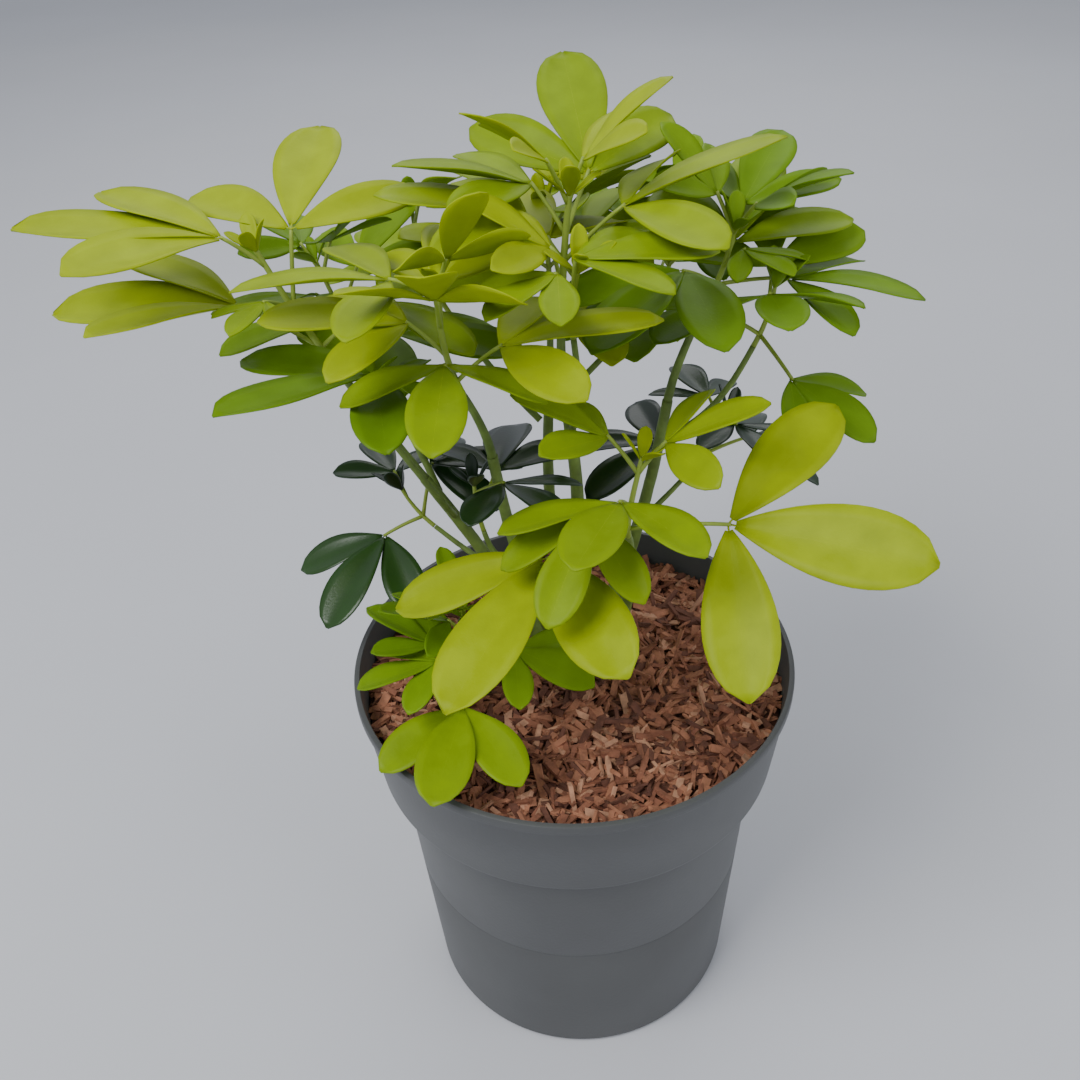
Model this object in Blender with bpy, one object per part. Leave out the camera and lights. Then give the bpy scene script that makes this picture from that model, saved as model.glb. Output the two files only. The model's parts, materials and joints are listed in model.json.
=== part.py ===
"""Golden mexican orange blossom in a nursery pot.

Metres, +Z up.  The origin is the centre of the flat underside of the pot, the
plant is seen from -Y, and +X is to the right.  Bearings are degrees round +Z
from +X, and a rise is degrees above the horizontal.
"""

import math
import random
from collections import namedtuple

import bpy
from mathutils import Vector
from mathutils.bvhtree import BVHTree

MM = 0.001

# Pot: outer radii and heights
RIM_RADIUS = 0.095
POT_HEIGHT = 0.186
COLLAR_HEIGHT = 0.0445
COLLAR_FOOT_RADIUS = 0.0893
BODY_TOP_RADIUS = 0.0816
BASE_RADIUS = 0.0736
POT_WALL = 0.0018
POT_FLOOR = 0.0025
LIP_HEIGHT = 0.0045
LIP_PROUD = 0.0009
STEP_RISE = 0.0022
FOOT_CHAMFER = 0.0022
POT_SIDES = 56
DRAIN_HOLES = 8
DRAIN_RADIUS = 0.0045
DRAIN_RING = 0.058

# Filling: potting mix, and a layer of bark chips on it
GAP = 0.0003
MIX_TOP = 0.1660
BARK_TOP = 0.1745
BARK_BUMP = 0.0040
BARK_RINGS = 6
BARK_SIDES = 30
BARK_CLEARING = 0.011

# Wood: sides of a tube, flare of a stem at the bark, spacing of its rings
STEM_SIDES = 8
BOUGH_SIDES = 7
SHOOT_SIDES = 5
FLARE = 0.0022
FLARE_HEIGHT = 0.008
STEM_STEPS = 7
BOUGH_STEPS = 4
SHOOT_STEPS = 4
SHOOT_TAPER = 0.30
LEAVING_ACROSS = 0.8
LEAVING_ALONG = 0.6
BOUGH_BEND = 0.4

# Leaf: a petiole with three leaflets; shares are of the leaflet's length
PETIOLE_RADIUS = 0.0008
HUB_RADIUS = 0.0011
HUB_FRONT = 0.55
HUB_DEPTH = 0.0011
HALF_WIDTH = 0.200
WIDEST = 0.68
SHOULDER = 0.30
SHOULDER_WIDTH = 0.62
LEAF_TILT = 10
BLADE_ROLL = 12
KEEL = 0.0008
FOLD = 0.16
DROOP = 0.07
SIDE_LEAFLET = 0.84
CLEARANCE = 0.0006
LIFT = 28
RIM_CHECK_SIDES = 24

# Crown space, which no leaf leaves: an ellipsoid round the stems
CROWN_CENTRE = Vector((0.0, 0.015, 0.290))
CROWN_REACH = Vector((0.240, 0.200, 0.175))
BARK_CLEAR = 0.003
SEED = 11

Stem = namedtuple("Stem", "foot fork bow radius fork_radius")
Bough = namedtuple("Bough", "parent share tip radius tip_radius")
Mass = namedtuple("Mass", "limb tip pairs turn leaf rise tone")
Leaf = namedtuple("Leaf", "bearing rise length spread petiole petiole_bearing petiole_rise tilt cup",
                  defaults=(0, -4))

# Each stem stands in the bark at its foot (x, y) and leans to its fork (x, y, z)
STEMS = {
    "stem_left": Stem((-0.016, 0.030), (-0.058, 0.028, 0.262), (0.002, 0.000), 0.0033, 0.0024),
    "stem_front": Stem((-0.004, 0.012), (-0.028, -0.002, 0.290), (-0.004, 0.002), 0.0031, 0.0022),
    "stem_centre": Stem((0.002, 0.036), (0.001, 0.026, 0.300), (0.004, 0.003), 0.0034, 0.0024),
    "stem_right": Stem((0.020, 0.044), (0.044, 0.042, 0.285), (0.003, 0.002), 0.0032, 0.0023),
    "stem_front_right": Stem((0.016, 0.016), (0.024, -0.008, 0.244), (0.003, -0.003), 0.0030, 0.0022),
    "stem_back": Stem((-0.002, 0.058), (-0.004, 0.080, 0.270), (-0.003, 0.004), 0.0032, 0.0023),
}

# Each bough leaves its stem at a share of the stem's length, and ends in its mass
BOUGHS = {
    "bough_far_left": Bough("stem_left", 1.0, (-0.085, 0.021, 0.318), 0.0021, 0.0015),
    "bough_left_front": Bough("stem_left", 0.80, (-0.068, 0.008, 0.296), 0.0016, 0.0012),
    "bough_left_back": Bough("stem_left", 0.88, (-0.078, 0.066, 0.292), 0.0017, 0.0013),
    "bough_low_left": Bough("stem_left", 0.50, (-0.058, 0.044, 0.226), 0.0014, 0.0011),
    "bough_front_left": Bough("stem_front", 1.0, (-0.036, -0.010, 0.321), 0.0019, 0.0014),
    "bough_inner_left": Bough("stem_front", 0.55, (-0.034, 0.003, 0.252), 0.0014, 0.0011),
    "bough_top": Bough("stem_centre", 1.0, (0.001, 0.024, 0.338), 0.0021, 0.0016),
    "bough_centre_front": Bough("stem_centre", 0.88, (0.004, 0.000, 0.336), 0.0015, 0.0012),
    "bough_right": Bough("stem_right", 1.0, (0.060, 0.044, 0.330), 0.0020, 0.0014),
    "bough_right_outer": Bough("stem_right", 0.85, (0.076, 0.034, 0.312), 0.0016, 0.0012),
    "bough_front_right": Bough("stem_front_right", 1.0, (0.022, -0.019, 0.262), 0.0019, 0.0014),
    "bough_low_right": Bough("stem_right", 0.50, (0.058, 0.058, 0.240), 0.0014, 0.0011),
    "bough_back_left": Bough("stem_back", 0.85, (-0.045, 0.102, 0.298), 0.0017, 0.0013),
    "bough_back_right": Bough("stem_back", 0.92, (0.038, 0.104, 0.292), 0.0017, 0.0013),
    "bough_back_top": Bough("stem_back", 1.0, (-0.002, 0.086, 0.308), 0.0019, 0.0014),
}

# Each mass grows from the end of its limb to its tip.  Leaves stand in pairs, each
# pair a quarter turn on from the last; leaf is the middle leaflet's length, and rise
# that of the lowest and the highest pair
MASSES = {
    "far_left_foliage": Mass("bough_far_left", (-0.106, 0.018, 0.368), 3, 183, 0.062, (0, 38), "gold"),
    "left_front_foliage": Mass("bough_left_front", (-0.073, 0.012, 0.318), 2, 200, 0.058, (0, 20), "lime"),
    "left_back_foliage": Mass("bough_left_back", (-0.098, 0.080, 0.338), 3, 150, 0.056, (5, 40), "lime"),
    "low_left_foliage": Mass("bough_low_left", (-0.072, 0.052, 0.242), 2, 215, 0.052, (-20, 10), "dark"),
    "front_left_foliage": Mass("bough_front_left", (-0.041, -0.013, 0.366), 4, 266, 0.052, (0, 40), "gold"),
    "inner_left_foliage": Mass("bough_inner_left", (-0.036, 0.001, 0.276), 2, 250, 0.056, (-15, 5), "dark"),
    "top_foliage": Mass("bough_top", (0.005, 0.026, 0.379), 4, 100, 0.058, (5, 36), "gold"),
    "centre_front_foliage": Mass("bough_centre_front", (0.006, -0.006, 0.364), 3, 350, 0.050, (0, 25), "gold"),
    "right_foliage": Mass("bough_right", (0.068, 0.046, 0.356), 4, 60, 0.054, (0, 30), "lime"),
    "right_outer_foliage": Mass("bough_right_outer", (0.082, 0.032, 0.338), 3, 345, 0.052, (0, 30), "lime"),
    "front_right_foliage": Mass("bough_front_right", (0.026, -0.027, 0.302), 3, 340, 0.058, (0, 30), "gold"),
    "low_right_foliage": Mass("bough_low_right", (0.074, 0.062, 0.264), 2, 20, 0.052, (-15, 10), "dark"),
    "back_left_foliage": Mass("bough_back_left", (-0.060, 0.118, 0.344), 3, 110, 0.054, (0, 40), "lime"),
    "back_right_foliage": Mass("bough_back_right", (0.056, 0.120, 0.340), 3, 70, 0.054, (0, 40), "lime"),
    "back_top_foliage": Mass("bough_back_top", (-0.004, 0.090, 0.352), 4, 130, 0.054, (0, 38), "gold"),
    "low_front_foliage": Mass("low_front_shoot", (-0.044, -0.018, 0.226), 4, 200, 0.036, (-5, 45), "lime"),
}

# The low shoot comes straight out of the bark at the front
LOW_SHOOT = Stem((-0.040, -0.008), (-0.042, -0.012, 0.190), (0.000, 0.000), 0.0020, 0.0016)

# Leaves that stand out of the pattern, by mass, pair and side: the bearing, rise and
# length of the middle leaflet, the spread of the others, and the petiole's length,
# bearing and rise; then, where it matters, how far the leaf is tilted about its middle
# leaflet and how far the other two are raised
OWN_WAY = {
    "far_left_foliage": {
        (0, 0): Leaf(183, 5, 0.065, 38, 0.034, 195, 40, 0, 6),
        (1, 0): Leaf(84, 22, 0.060, 60, 0.029, 60, 78),
        (1, 1): Leaf(240, 2, 0.024, 45, 0.020, 245, 33),
        (2, 0): Leaf(188, 8, 0.068, 36, 0.018, 200, 47, 0, 6),
        (2, 1): Leaf(112, 25, 0.038, 40, 0.012, 125, 50),
    },
    "left_front_foliage": {
        (0, 0): Leaf(199, 0, 0.062, 60, 0.030, 275, 62),
        (0, 1): Leaf(15, 0, 0.030, 50, 0.024, 320, 60),
    },
    "front_left_foliage": {
        (0, 0): Leaf(267, -5, 0.048, 65, 0.013, 245, 57),
        (0, 1): Leaf(15, 8, 0.056, 60, 0.026, 333, 44),
        (1, 0): Leaf(185, 8, 0.050, 50, 0.018, 180, 50),
        (1, 1): Leaf(339, 0, 0.032, 50, 0.014, 340, 35),
        (2, 0): Leaf(88, 12, 0.042, 42, 0.017, 90, 40),
        (3, 0): Leaf(188, 8, 0.052, 65, 0.016, 172, 20),
    },
    "inner_left_foliage": {
        (0, 0): Leaf(272, -15, 0.054, 45, 0.012, 72, 20),
    },
    "low_left_foliage": {
        (0, 0): Leaf(237, -20, 0.050, 50, 0.019, 190, -20),
        (0, 1): Leaf(345, -8, 0.044, 55, 0.028, 350, 78),
    },
    "top_foliage": {
        (1, 0): Leaf(178, 10, 0.054, 48, 0.023, 190, 58),
        (1, 1): Leaf(8, 20, 0.060, 60, 0.032, 336, 46),
        (2, 0): Leaf(77, 22, 0.062, 50, 0.028, 55, 31),
        (2, 1): Leaf(150, 15, 0.050, 45, 0.021, 125, 50),
    },
    "centre_front_foliage": {
        (0, 0): Leaf(357, 3, 0.048, 40, 0.032, 270, 69),
        (0, 1): Leaf(225, -5, 0.034, 45, 0.030, 250, 60),
    },
    "right_foliage": {
        (0, 0): Leaf(342, 3, 0.051, 48, 0.027, 344, 10),
        (1, 0): Leaf(67, 20, 0.060, 55, 0.011, 50, 50),
        (1, 1): Leaf(300, 0, 0.028, 45, 0.013, 320, 50),
        (2, 0): Leaf(120, 10, 0.035, 45, 0.020, 135, 5),
    },
    "right_outer_foliage": {
        (0, 0): Leaf(318, -18, 0.040, 50, 0.022, 300, -30),
    },
    "front_right_foliage": {
        (0, 0): Leaf(341, 5, 0.072, 65, 0.040, 338, 18, -30),
        (0, 1): Leaf(237, -12, 0.070, 55, 0.036, 212, 5, -10),
        (1, 0): Leaf(245, -25, 0.042, 50, 0.032, 235, 25),
    },
    "low_front_foliage": {
        (0, 0): Leaf(258, -2, 0.050, 40, 0.027, 264, 4),
        (1, 0): Leaf(150, 18, 0.033, 45, 0.018, 208, 36),
        (1, 1): Leaf(323, 0, 0.040, 50, 0.020, 17, -15),
        (2, 0): Leaf(200, 0, 0.034, 45, 0.017, 232, 0),
    },
}

# Turns and raises that a leaf tries, in degrees, until it is clear
TRIES = [(0, 0), (10, 0), (-10, 0), (0, 12), (0, -12), (20, 8), (-20, 8), (20, -8), (-20, -8),
         (32, 0), (-32, 0), (45, 10), (-45, 10)]

TONES = {
    "gold": (0.62, 0.70, 0.03),
    "lime": (0.33, 0.50, 0.03),
    "dark": (0.03, 0.13, 0.02),
}
WOOD = (0.20, 0.30, 0.06)
POT_GREY = (0.10, 0.105, 0.105)
BARK_BROWN = (0.23, 0.08, 0.04)
MIX_BROWN = (0.05, 0.03, 0.02)


def bearing_vector(bearing, rise):
    """Unit vector at a bearing and a rise, both in degrees."""
    flat = math.cos(math.radians(rise))
    turn = math.radians(bearing)
    return Vector((flat * math.cos(turn), flat * math.sin(turn), math.sin(math.radians(rise))))


def ring_frame(along):
    """Two unit vectors square to a direction and to each other."""
    helper = Vector((0.0, 1.0, 0.0)) if abs(along.y) < 0.9 else Vector((1.0, 0.0, 0.0))
    first = along.cross(helper).normalized()
    return first, along.cross(first).normalized()


def tube(path, radii, sides, level_foot=False):
    """Closed tube along a path: its points and its faces, facing out."""
    points = []
    last = len(path) - 1
    for index, centre in enumerate(path):
        along = (path[min(index + 1, last)] - path[max(index - 1, 0)]).normalized()
        if level_foot and index == 0:
            along = Vector((0.0, 0.0, 1.0))
        first, second = ring_frame(along)
        for side in range(sides):
            turn = 2 * math.pi * side / sides
            points.append(centre + radii[index] * (math.cos(turn) * first + math.sin(turn) * second))
    faces = [tuple(reversed(range(sides))), tuple(range(last * sides, (last + 1) * sides))]
    for ring in range(last):
        for side in range(sides):
            turned = (side + 1) % sides
            low, high = ring * sides, (ring + 1) * sides
            faces.append((low + side, low + turned, high + turned, high + side))
    return points, faces


def make_object(name, points, faces, colour, roughness=0.5):
    """Object with its own material."""
    mesh = bpy.data.meshes.new(name)
    mesh.from_pydata([tuple(point) for point in points], [], faces)
    thing = bpy.data.objects.new(name, mesh)
    bpy.context.scene.collection.objects.link(thing)
    material = bpy.data.materials.new(name + "_material")
    material.use_nodes = True
    shader = material.node_tree.nodes["Principled BSDF"]
    shader.inputs["Base Color"].default_value = (*colour, 1.0)
    shader.inputs["Roughness"].default_value = roughness
    shader.inputs["Metallic"].default_value = 0.0
    mesh.materials.append(material)
    return thing


def lathe(profile, sides):
    """Solid of revolution about Z: the profile runs from the axis, out and back to it."""
    points = []
    rings = []
    for radius, height in profile:
        count = 1 if radius == 0.0 else sides
        rings.append(range(len(points), len(points) + count))
        for side in range(count):
            turn = 2 * math.pi * side / sides
            points.append(Vector((radius * math.cos(turn), radius * math.sin(turn), height)))
    faces = []
    for low, high in zip(rings, rings[1:]):
        for side in range(sides):
            turned = (side + 1) % sides
            corners = [low[side % len(low)], low[turned % len(low)],
                       high[turned % len(high)], high[side % len(high)]]
            face = [corner for place, corner in enumerate(corners) if corner not in corners[:place]]
            faces.append(tuple(face))
    return points, faces


def body_radius(height):
    """Outer radius of the pot's body below its collar."""
    share = height / (POT_HEIGHT - COLLAR_HEIGHT)
    return BASE_RADIUS + (BODY_TOP_RADIUS - BASE_RADIUS) * share


def collar_radius(height):
    """Outer radius of the pot's collar, above the step."""
    share = (height - (POT_HEIGHT - COLLAR_HEIGHT)) / COLLAR_HEIGHT
    return COLLAR_FOOT_RADIUS + (RIM_RADIUS - LIP_PROUD - COLLAR_FOOT_RADIUS) * share


def inner_radius(height):
    """Inner radius of the pot at a height."""
    if height > POT_HEIGHT - COLLAR_HEIGHT + POT_WALL:
        return collar_radius(height) - POT_WALL
    return body_radius(height) - POT_WALL


def make_pot():
    """Thin-walled pot: tapered body, wider collar, a small lip, drain holes."""
    step = POT_HEIGHT - COLLAR_HEIGHT
    lip = POT_HEIGHT - LIP_HEIGHT
    profile = [
        (0.0, 0.0),
        (BASE_RADIUS - FOOT_CHAMFER, 0.0),
        (body_radius(FOOT_CHAMFER), FOOT_CHAMFER),
        (body_radius(step - STEP_RISE), step - STEP_RISE),
        (COLLAR_FOOT_RADIUS - LIP_PROUD, step - STEP_RISE / 2),
        (COLLAR_FOOT_RADIUS, step + STEP_RISE / 2),
        (collar_radius(lip), lip),
        (RIM_RADIUS, lip + LIP_PROUD),
        (RIM_RADIUS, POT_HEIGHT - LIP_PROUD),
        (RIM_RADIUS - LIP_PROUD, POT_HEIGHT),
        (inner_radius(POT_HEIGHT), POT_HEIGHT),
        (inner_radius(step + 2 * STEP_RISE), step + 2 * STEP_RISE),
        (inner_radius(step), step),
        (inner_radius(POT_FLOOR), POT_FLOOR),
        (0.0, POT_FLOOR),
    ]
    pot = make_object("pot", *lathe(profile, POT_SIDES), POT_GREY, 0.45)
    for index in range(DRAIN_HOLES):
        centre = DRAIN_RING * bearing_vector(360 * (index + 0.5) / DRAIN_HOLES, 0)
        path = [centre - Vector((0, 0, POT_FLOOR)), centre + Vector((0, 0, 2 * POT_FLOOR))]
        cutter = make_object("drain_cutter_%d" % index, *tube(path, [DRAIN_RADIUS] * 2, 10), POT_GREY)
        cutter.hide_render = True
        cutter.display_type = "WIRE"
        cut = pot.modifiers.new("drain_%d" % index, "BOOLEAN")
        cut.operation = "DIFFERENCE"
        cut.object = cutter


def make_filling(feet):
    """Potting mix, and the layer of bark on it, level where a stem stands."""
    low = POT_FLOOR + GAP
    step = POT_HEIGHT - COLLAR_HEIGHT
    profile = [
        (0.0, low),
        (inner_radius(low) - GAP, low),
        (inner_radius(step) - GAP, step),
        (inner_radius(step + 2 * STEP_RISE) - GAP, step + 2 * STEP_RISE),
        (inner_radius(MIX_TOP) - GAP, MIX_TOP),
        (0.0, MIX_TOP),
    ]
    make_object("potting_mix", *lathe(profile, POT_SIDES), MIX_BROWN, 0.95)

    edge = inner_radius(MIX_TOP) - GAP - MM / 4
    rings = [edge * ring / BARK_RINGS for ring in range(BARK_RINGS, 0, -1)]
    profile = [(0.0, MIX_TOP + GAP), (edge, MIX_TOP + GAP)]
    profile += [(radius, BARK_TOP) for radius in rings]
    profile += [(0.0, BARK_TOP)]
    points, faces = lathe(profile, BARK_SIDES)
    bumps = random.Random(SEED)
    for point in points:
        hollow = bumps.random() * BARK_BUMP
        if point.z < BARK_TOP:
            continue
        clear = min((point.xy - Vector(foot)).length for foot in feet) / BARK_CLEARING
        point.z -= hollow * min(1.0, max(0.0, clear - 1.0))
    make_object("bark_mulch", points, faces, BARK_BROWN, 0.9)


def smooth_path(start, end, bow, steps):
    """Points from start to end, bowed sideways in the middle."""
    side = Vector((*bow, 0.0))
    return [start.lerp(end, step / steps) + side * math.sin(math.pi * step / steps)
            for step in range(steps + 1)]


def stem_line(stem):
    """A stem's path and radii, flared at the bark."""
    foot = Vector((*stem.foot, BARK_TOP + GAP))
    path = smooth_path(foot, Vector(stem.fork), stem.bow, STEM_STEPS)
    path.insert(1, path[0].lerp(path[1], 0.35))
    radii = []
    for point in path:
        share = (point.z - foot.z) / (path[-1].z - foot.z)
        flare = FLARE * math.exp(-(point.z - foot.z) / FLARE_HEIGHT)
        radii.append(stem.radius + (stem.fork_radius - stem.radius) * share + flare)
    return path, radii


def point_on(path, share):
    """Point, and the direction of the path, at a share of its steps."""
    place = share * (len(path) - 1)
    index = min(int(place), len(path) - 2)
    along = (path[index + 1] - path[index]).normalized()
    return path[index].lerp(path[index + 1], place - index), along


def bent_line(start, bend, tip, steps):
    """Points of a curve that leaves start towards bend and ends at tip."""
    shares = [step / steps for step in range(steps + 1)]
    return [start.lerp(bend, share).lerp(bend.lerp(tip, share), share) for share in shares]


def bough_line(bough, stems):
    """A bough's path and radii: a leader goes on from its stem, others leave its side."""
    path, radii = stems[bough.parent]
    start, along = point_on(path, bough.share)
    tip = Vector(bough.tip)
    if bough.share >= 1.0:
        out = along
        start = start + along * GAP
    else:
        across = tip - start
        across -= along * across.dot(along)
        out = across.normalized() * LEAVING_ACROSS + along * LEAVING_ALONG
        stem_radius = radii[int(bough.share * (len(radii) - 1))]
        clear = stem_radius + GAP + bough.radius * LEAVING_ALONG
        start = start + out * clear / LEAVING_ACROSS
    bend = start + out * (tip - start).length * BOUGH_BEND
    sizes = [bough.radius + (bough.tip_radius - bough.radius) * step / BOUGH_STEPS
             for step in range(BOUGH_STEPS + 1)]
    return bent_line(start, bend, tip, BOUGH_STEPS), sizes


def shoot_line(mass, limbs):
    """The stem of a mass, which goes on from the end of its limb."""
    path, radii = limbs[mass.limb]
    along = (path[-1] - path[-2]).normalized()
    start = path[-1] + along * GAP
    tip = Vector(mass.tip)
    bend = start + along * (tip - start).length / 2
    sizes = [radii[-1] * (1.0 - SHOOT_TAPER * step / SHOOT_STEPS) for step in range(SHOOT_STEPS + 1)]
    return bent_line(start, bend, tip, SHOOT_STEPS), sizes


def leaflet_points(hub, way, up, length, half, droop, grow):
    """Seven points of a leaflet: left, right and keel at two stations, and the tip."""
    left = up.cross(way).normalized()
    points = []
    for share, width in ((SHOULDER, half * SHOULDER_WIDTH), (WIDEST, half)):
        centre = hub + way * (share * length) - up * (droop * length * share * share)
        lift = up * (width * FOLD + grow)
        points.append(centre + left * (width + grow) + lift)
        points.append(centre - left * (width + grow) + lift)
        points.append(centre - up * (KEEL + grow))
    points.append(hub + way * (length + grow) - up * (droop * length))
    return points


def leaf_solid(node, leaf, dice, grow=0.0):
    """One leaf as a closed solid: points, petiole faces and blade faces.

    The petiole is three-sided and starts inside the stem at the node.  At the hub its
    two upper edges and its lower edge open into three leaflets, each with a flat top
    and a keel under its midrib.
    """
    stalk = bearing_vector(leaf.petiole_bearing, leaf.petiole_rise)
    hub = node + stalk * leaf.petiole
    aim = bearing_vector(leaf.bearing, leaf.rise)
    level = bearing_vector(leaf.bearing + 90, 0)
    tilt = math.radians(leaf.tilt)
    up = aim.cross(level).normalized() * math.cos(tilt) + level * math.sin(tilt)
    left = up.cross(aim).normalized()

    girth = PETIOLE_RADIUS + grow
    beside = (left - stalk * left.dot(stalk)).normalized()
    under = stalk.cross(beside)
    if under.dot(aim - up) < 0:
        under = -under
    points = [node + beside * girth - under * girth / 2,
              node - beside * girth - under * girth / 2,
              node + under * girth]
    hub_girth = HUB_RADIUS + grow
    points += [hub + left * hub_girth - aim * hub_girth / 2,
               hub - left * hub_girth - aim * hub_girth / 2,
               hub + left * hub_girth * HUB_FRONT + aim * hub_girth,
               hub - left * hub_girth * HUB_FRONT + aim * hub_girth,
               hub - up * (HUB_DEPTH + grow)]
    petiole_faces = [(1, 4, 3, 0), (0, 3, 7, 2), (2, 7, 4, 1), (0, 2, 1), (4, 6, 5, 3)]
    blade_faces = []
    for turn, base_left, base_right in ((1, 3, 5), (0, 5, 6), (-1, 6, 4)):
        spread = math.radians(turn * leaf.spread * dice.uniform(0.97, 1.05))
        raised = math.radians(abs(turn) * leaf.cup + dice.uniform(-2, 2))
        way = aim * math.cos(spread) + left * math.sin(spread)
        way = (way * math.cos(raised) + up * math.sin(raised)).normalized()
        size = leaf.length * (SIDE_LEAFLET * dice.uniform(0.93, 1.06) if turn else 1.0)
        half = size * HALF_WIDTH * dice.uniform(0.94, 1.08)
        roll = math.radians(dice.uniform(-BLADE_ROLL, BLADE_ROLL))
        blade_up = up * math.cos(roll) + up.cross(way).normalized() * math.sin(roll)
        first = len(points)
        points += leaflet_points(hub, way, blade_up, size, half, DROOP * dice.uniform(0.3, 1.7), grow)
        left_1, right_1, keel_1, left_2, right_2, keel_2, tip = range(first, first + 7)
        blade_faces += [
            (base_right, right_1, left_1, base_left),
            (base_left, left_1, keel_1, 7),
            (right_1, base_right, 7, keel_1),
            (right_1, right_2, left_2, left_1),
            (left_1, left_2, keel_2, keel_1),
            (right_2, right_1, keel_1, keel_2),
            (right_2, tip, left_2),
            (left_2, tip, keel_2),
            (tip, right_2, keel_2),
        ]
    return points, petiole_faces, blade_faces


def planned_leaves(name, mass, line):
    """Every leaf of a mass by the rule: (node, pair, side, leaf)."""
    planned = []
    dice = random.Random(name)
    for pair in range(mass.pairs):
        share = (pair + 0.6) / mass.pairs
        node, _ = point_on(line, min(share, 0.97))
        rise = mass.rise[0] + (mass.rise[1] - mass.rise[0]) * pair / max(1, mass.pairs - 1)
        size = mass.leaf * (1.0 - 0.35 * (pair / max(1, mass.pairs - 1)) ** 2)
        for side in (0, 1):
            bearing = mass.turn + 90 * pair + 180 * side + dice.uniform(-12, 12)
            tilt = rise + dice.uniform(-8, 8)
            leaf = Leaf(bearing, tilt, size * dice.uniform(0.92, 1.08), dice.uniform(48, 62),
                        size * dice.uniform(0.38, 0.50), bearing, min(80, tilt + LIFT),
                        dice.uniform(-LEAF_TILT, LEAF_TILT), dice.uniform(-8, 0))
            leaf = OWN_WAY.get(name, {}).get((pair, side), leaf)
            planned.append((node, pair, side, leaf))
    return planned


def search_tree(points, faces):
    """Search tree of some faces, and their box."""
    used = [points[corner] for face in faces for corner in face]
    low = [min(point[axis] for point in used) for axis in range(3)]
    high = [max(point[axis] for point in used) for axis in range(3)]
    return BVHTree.FromPolygons(points, faces), low, high


def touches(tree, others):
    """Whether a piece meets any of the others."""
    own, low, high = tree
    for other, other_low, other_high in others:
        apart = any(low[axis] > other_high[axis] or high[axis] < other_low[axis] for axis in range(3))
        if not apart and own.overlap(other):
            return True
    return False


def in_crown(points):
    """Whether a leaf keeps to the crown's space and above the bark."""
    for point in points[3:]:
        offset = point - CROWN_CENTRE
        reach = Vector([offset[axis] / CROWN_REACH[axis] for axis in range(3)])
        if reach.length > 1.0 or point.z < BARK_TOP + BARK_CLEAR:
            return False
    return True


def grow_leaves(lines, limbs):
    """Leaves of every mass: those that stand out first, then the rest by the rule.

    A leaf that would leave the crown, or touch a limb or a leaf, is turned a little,
    and skipped if no turn clears it.
    """
    wood = {name: search_tree(*tube(path, [radius + CLEARANCE for radius in radii], SHOOT_SIDES))
            for name, (path, radii) in {**limbs, **lines}.items()}
    rim = search_tree(*lathe([(RIM_RADIUS, BARK_TOP), (RIM_RADIUS, POT_HEIGHT),
                              (inner_radius(POT_HEIGHT), POT_HEIGHT),
                              (inner_radius(POT_HEIGHT), BARK_TOP)], RIM_CHECK_SIDES))
    planned = []
    for name, mass in MASSES.items():
        for node, pair, side, leaf in planned_leaves(name, mass, lines[name][0]):
            by_rule = (pair, side) not in OWN_WAY.get(name, {})
            planned.append((by_rule, name, node, "%s %d %d" % (name, pair, side), leaf))
    planned.sort(key=lambda item: item[0])
    grown = {name: [] for name in MASSES}
    whole = {name: [] for name in MASSES}
    blades = {name: [] for name in MASSES}
    for _, name, node, key, leaf in planned:
        foreign = [tree for other, tree in wood.items() if other != name] + [rim]
        foreign += [tree for other in MASSES if other != name for tree in whole[other]]
        for turn, raised in TRIES:
            tried = leaf._replace(bearing=leaf.bearing + turn, rise=leaf.rise + raised,
                                  petiole_bearing=leaf.petiole_bearing + turn / 2)
            solids = [leaf_solid(node, tried, random.Random(key), grow) for grow in (CLEARANCE, 0.0)]
            if not in_crown(solids[0][0]):
                continue
            if any(touches(search_tree(points, petiole_faces), foreign + blades[name])
                   or touches(search_tree(points, blade_faces), foreign + whole[name] + [wood[name]])
                   for points, petiole_faces, blade_faces in solids):
                continue
            points, petiole_faces, blade_faces = solids[-1]
            whole[name].append(search_tree(points, petiole_faces + blade_faces))
            blades[name].append(search_tree(points, blade_faces))
            grown[name].append((points, petiole_faces + blade_faces))
            break
    return grown


def biggest_body(mesh):
    """Keep the largest connected body of a mesh: no scraps, no sealed hollows."""
    neighbours = {vertex.index: [] for vertex in mesh.vertices}
    for edge in mesh.edges:
        first, second = edge.vertices
        neighbours[first].append(second)
        neighbours[second].append(first)
    best = set()
    left = set(neighbours)
    while left:
        body = {left.pop()}
        front = list(body)
        while front:
            for near in neighbours[front.pop()]:
                if near in left:
                    left.discard(near)
                    body.add(near)
                    front.append(near)
        if len(body) > len(best):
            best = body
    order = {old: new for new, old in enumerate(sorted(best))}
    points = [mesh.vertices[old].co.copy() for old in sorted(best)]
    faces = [tuple(order[corner] for corner in face.vertices)
             for face in mesh.polygons if face.vertices[0] in best]
    return points, faces


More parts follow.
